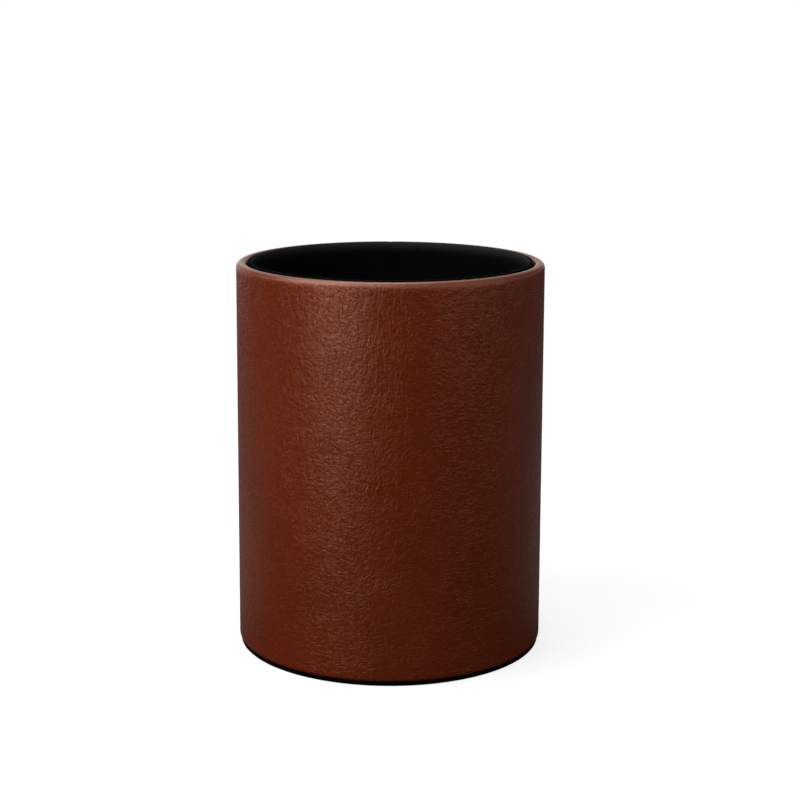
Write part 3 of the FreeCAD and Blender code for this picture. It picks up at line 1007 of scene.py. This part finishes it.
def covered(name, radius, cover_face, fold_face, turned_in):
    """A disc cover from the cloth's face to its fold, on whichever side the face is."""
    way = 1 if cover_face > fold_face else -1
    near, far = cover_face - way * CLOTH, fold_face + way * CLOTH
    card = radius - CLOTH
    face = section(
        (0.0, cover_face, 0, FINE_RING),
        (radius, cover_face, CLOTH_FOLD, FOLD_STEP),
        (radius, fold_face, CLOTH_FOLD, COARSE_RING),
        (card - turned_in, fold_face, 0, 0),
    )
    back = section(
        (card - turned_in, far, 0, COARSE_RING),
        (card, far, 0, COARSE_RING),
        (card, near, 0, COARSE_RING),
        (0.0, near, 0, 0),
    )
    path = np.concatenate([face, back])
    fine = np.arange(len(path)) < len(face)
    return disc_cover(name, path, np.where(fine, FINE_RING, COARSE_RING), len(face))


FLOOR_DISC = covered("floor_nap", FLOOR_RADIUS, FLOOR_TOP, FLOOR_BOTTOM, FLOOR_TURN_UNDER)
FOOT_DISC = covered("foot_nap", FOOT_RADIUS, FOOT_BOTTOM, FOOT_TOP, FOOT_TURN_OVER)
for disc, node, relief in (
    (FLOOR_DISC, "floor_cloth", FLOOR_RELIEF),
    (FOOT_DISC, "foot_cloth", FOOT_RELIEF),
):
    dress(disc, NAP_RELIEF, node, "black_cloth", Depth=relief, Finish=BLACK_CLOTH, **NAP_SETTINGS)

# %% [markdown]
# ## Grey board
#
# The tube, the base and the cards are grey board, pressed from waste paper. They are hidden once the
# cup is glued up, but anybody who takes it apart sees them: a warm grey, full of short fibres and
# flecks of old print, with a dull surface that is a little rough to the touch. The boards keep the
# meshes that they came with, and only get this finish, laid on in their own coordinates.

# %% Make the board's finish
BOARD_DARK = (0.30, 0.275, 0.235, 1)
BOARD_LIGHT = (0.50, 0.465, 0.405, 1)
FLECK = (0.09, 0.10, 0.14, 1)
CLOUD_SCALE, CLOUD_SHARE = 0.25, 0.45
FIBRE_PULL = {"scale": 0.8, "reach": (1.5, 1.5, 1.5)}
FIBRE_SHAPE, FIBRE_SCALE, FIBRE_ROUGHNESS, FIBRE_SHARE = (1.0, 1.0, 3.0), 2.2, 0.7, 0.55
PULP_DETAIL, PULP_RANGE = 4.0, (0.35, 0.65)
FLECK_SCALE, FLECK_RANGE, FLECK_STRENGTH = 0.55, (0.05, 0.14), 0.8
BOARD_ROUGHNESS, BOARD_ROUGHNESS_RANGE = (0.95, 0.8), (0.3, 0.7)
BOARD_SPECULAR, BOARD_TOOTH = 0.25, 0.06


def board_pulp(tree, place):
    """Clouds and short fibres of paper pulp, 0 to 1."""
    clouds = noise(tree, place, CLOUD_SCALE, PULP_DETAIL).outputs["Fac"]
    lying = move(tree, "MULTIPLY", warped(tree, place, **FIBRE_PULL), FIBRE_SHAPE)
    fibres = noise(tree, lying, FIBRE_SCALE, PULP_DETAIL, FIBRE_ROUGHNESS).outputs["Fac"]
    cloud_part = calc(tree, "MULTIPLY", clouds, CLOUD_SHARE)
    return calc(tree, "ADD", cloud_part, calc(tree, "MULTIPLY", fibres, FIBRE_SHARE))


def board_finish():
    """Uncoated grey board with flecks."""
    material, tree, shader = new_material("grey_board")
    own = add(tree, "ShaderNodeTexCoord").outputs["Object"]
    place = move(tree, "MULTIPLY", own, PER_MM)
    pulp = board_pulp(tree, place)
    grey = mix(tree, ramp(tree, pulp, *PULP_RANGE), BOARD_DARK, BOARD_LIGHT)
    scattered = {"Vector": place, "Scale": FLECK_SCALE}
    specks = add(tree, "ShaderNodeTexVoronoi", scattered, feature="F1").outputs["Distance"]
    fleck = ramp(tree, specks, *FLECK_RANGE, FLECK_STRENGTH, 0.0)
    tree.links.new(mix(tree, fleck, grey, FLECK), shader.inputs["Base Color"])
    dull = ramp(tree, pulp, *BOARD_ROUGHNESS_RANGE, *BOARD_ROUGHNESS)
    tree.links.new(dull, shader.inputs["Roughness"])
    shader.inputs["Specular IOR Level"].default_value = BOARD_SPECULAR
    bumped(tree, shader, calc(tree, "MULTIPLY", pulp, BOARD_TOOTH))
    return material


GREY_BOARD = board_finish()
BOARDS = ("core_tube", "base_board", "lining_card", "floor_card", "foot_card")
for name in BOARDS:
    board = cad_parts[name]
    board.data.materials.clear()
    board.data.materials.append(GREY_BOARD)
print("boards:", len(BOARDS))

# %% [markdown]
# ## The studio floor
#
# The cup stands on a white sweep of paper, lit until it is white. What the camera sees of the floor
# is mostly its own light, so it is as white as the background, with a faint soft shadow where the
# cup stands. Other rays see a dim floor, which doesn't flood the cup from below. It is paler behind
# the cup, and the cup's two edges reflect that part: it gives each edge its thin pale sheen.

# %% Lay the floor
FLOOR_HALF = 4.0
BOUNCE_IN_FRONT = (0.035, 0.035, 0.035, 1)
BOUNCE_BEHIND = (0.13, 0.13, 0.13, 1)
BEHIND_FROM, BEHIND_TO = -0.03, 0.03
FLOOR_SEEN = (0.30, 0.30, 0.30, 1)
FLOOR_GLOW, FLOOR_WHITE = 0.78, 1.0
WHITE_FROM, WHITE_TO = 0.10, 0.30


def floor_finish():
    """White to the camera, dim to every other ray."""
    material = bpy.data.materials.new("pale_floor")
    material.use_nodes = True
    tree = material.node_tree
    tree.nodes.clear()
    place = add(tree, "ShaderNodeTexCoord").outputs["Object"]
    along = add(tree, "ShaderNodeSeparateXYZ", {0: place}).outputs["Y"]
    behind = ramp(tree, along, BEHIND_FROM, BEHIND_TO)
    grey = mix(tree, behind, BOUNCE_IN_FRONT, BOUNCE_BEHIND)
    bounce = add(tree, "ShaderNodeBsdfDiffuse", {"Color": grey})
    matt = add(tree, "ShaderNodeBsdfDiffuse", {"Color": FLOOR_SEEN})
    glow = add(tree, "ShaderNodeEmission", {"Strength": FLOOR_GLOW})
    near = add(tree, "ShaderNodeAddShader", {0: matt.outputs[0], 1: glow.outputs[0]})
    white = add(tree, "ShaderNodeEmission", {"Strength": FLOOR_WHITE})
    away = add(tree, "ShaderNodeVectorMath", {0: place}, operation="LENGTH").outputs["Value"]
    far = ramp(tree, away, WHITE_FROM, WHITE_TO)
    seen = add(tree, "ShaderNodeMixShader", {0: far, 1: near.outputs[0], 2: white.outputs[0]})
    camera_ray = add(tree, "ShaderNodeLightPath").outputs["Is Camera Ray"]
    both = {0: camera_ray, 1: bounce.outputs[0], 2: seen.outputs[0]}
    finish = add(tree, "ShaderNodeMixShader", both)
    add(tree, "ShaderNodeOutputMaterial", {"Surface": finish.outputs[0]})
    return material


def floor():
    """A flat square under the cup."""
    mesh = bpy.data.meshes.new("floor")
    low, high = -FLOOR_HALF, FLOOR_HALF
    corners = [(low, low, 0), (high, low, 0), (high, high, 0), (low, high, 0)]
    mesh.from_pydata(corners, [], [range(len(corners))])
    mesh.materials.append(floor_finish())
    piece = bpy.data.objects.new("floor", mesh)
    bpy.context.scene.collection.objects.link(piece)
    print(f"floor: {2 * FLOOR_HALF:.0f} m square")


floor()

# %% [markdown]
# ## The air of the studio
#
# The world is plain white to the camera. For the cup itself it is a weak even light from all
# sides, which keeps the shaded side from going black.

# %% Light the world
WORLD_SEEN, WORLD_FILL = 1.0, 0.15
WHITE = (1, 1, 1, 1)

world = bpy.data.worlds.new("studio")
bpy.context.scene.world = world
world.use_nodes = True
sky = world.node_tree
seen = add(sky, "ShaderNodeLightPath").outputs["Is Camera Ray"]
levels = {"Value": seen, "To Min": WORLD_FILL, "To Max": WORLD_SEEN}
strength = add(sky, "ShaderNodeMapRange", levels).outputs["Result"]
sky.links.new(strength, sky.nodes["Background"].inputs["Strength"])
sky.nodes["Background"].inputs["Color"].default_value = WHITE
print(f"fill light {WORLD_FILL}")

# %% [markdown]
# ## Lamps
#
# Leather shows its grain only when the light rakes across it. The main lamp is high on the left,
# and a low one stands beside it, which draws the long soft highlight down the left of the cup.
# A broad weak lamp at the right gives the second highlight, which is softer, and a weak one in front
# lifts the shaded side. Behind the cup, a high lamp lights the far side of the rim, a low one draws
# the bright line along the near crest, and a wide one draws the cup's left edge.

# %% Hang the lamps
AIM_HEIGHT = 0.05


def lamp(name, azimuth, elevation, distance, width, height, power):
    """A flat lamp that faces the cup. Azimuth 0 is in front and 90 is on the right."""
    a, e = math.radians(azimuth), math.radians(elevation)
    out = Vector((math.sin(a) * math.cos(e), -math.cos(a) * math.cos(e), math.sin(e)))
    data = bpy.data.lights.new(name, "AREA")
    data.shape = "RECTANGLE"
    data.size = width
    data.size_y = height
    data.energy = power
    piece = bpy.data.objects.new(name, data)
    facing = out.to_track_quat("Z", "Y").to_matrix().to_4x4()
    piece.matrix_world = Matrix.Translation(out * distance + Vector((0, 0, AIM_HEIGHT))) @ facing
    bpy.context.scene.collection.objects.link(piece)
    return piece


LAMPS = [
    lamp("main", azimuth=-70, elevation=50, distance=0.42, width=0.3, height=0.3, power=1.22),
    lamp("low left", azimuth=-38, elevation=6.4, distance=0.45, width=0.3, height=0.2, power=0.37),
    lamp("front", azimuth=-24, elevation=56, distance=0.34, width=0.24, height=0.24, power=0.32),
    lamp("right", azimuth=60, elevation=34, distance=0.38, width=0.42, height=0.42, power=0.39),
    lamp("high behind", azimuth=-160, elevation=75, distance=0.6, width=0.3, height=0.3, power=1.25),
    lamp("low behind", azimuth=180, elevation=10, distance=0.6, width=0.5, height=0.14, power=0.25),
    lamp("left edge", azimuth=-150, elevation=11.5, distance=0.8, width=0.6, height=0.42, power=0.40),
]
print("lamps:", ", ".join(piece.name for piece in LAMPS))

# %% [markdown]
# ## Colour view
#
# Standard view shows each colour as it is written.

# %% Show colours as they are written
bpy.context.scene.view_settings.view_transform = "Standard"
